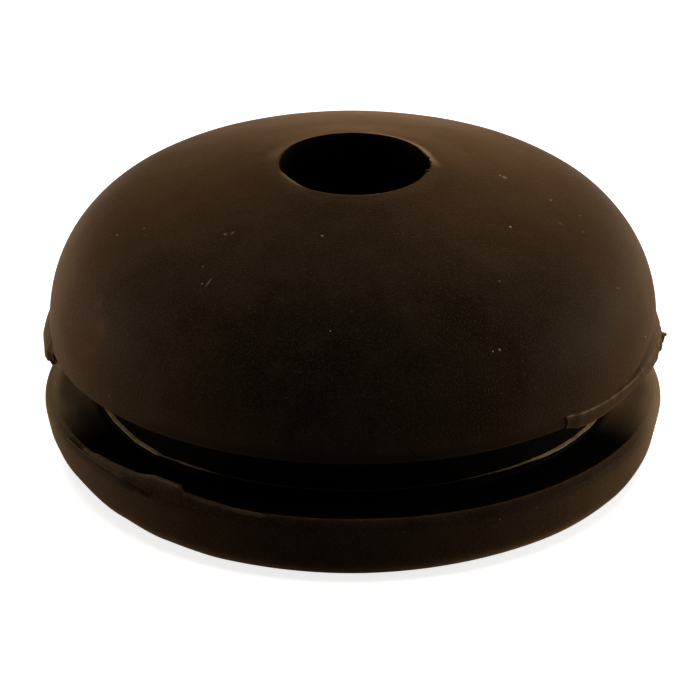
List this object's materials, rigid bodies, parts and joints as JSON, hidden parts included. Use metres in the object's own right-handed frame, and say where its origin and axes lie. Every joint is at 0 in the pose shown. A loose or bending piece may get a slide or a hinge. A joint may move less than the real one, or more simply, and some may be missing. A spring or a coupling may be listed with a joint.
{
  "type": "driveshaft support rubber",
  "caption": "Moulded rubber mounting bush: a domed head over a neck and base flange, a groove for a plate edge, and a bolt hole through its axis.",
  "frame": {"origin": "on the bore's axis, in the plane of the flange's flat bottom", "axes": "+Z along the bore's axis, from the flat bottom up to the domed head; -Y is the front, where the head's rim is free of flash"},
  "size_m": [0.0453, 0.045, 0.0222],
  "materials": {
    "rubber": "matt moulded black rubber, faintly brown, with fine mottling and a few pale specks"
  },
  "bodies": {
    "root": {"support_rubber": "rubber"}
  },
  "joints": []
}
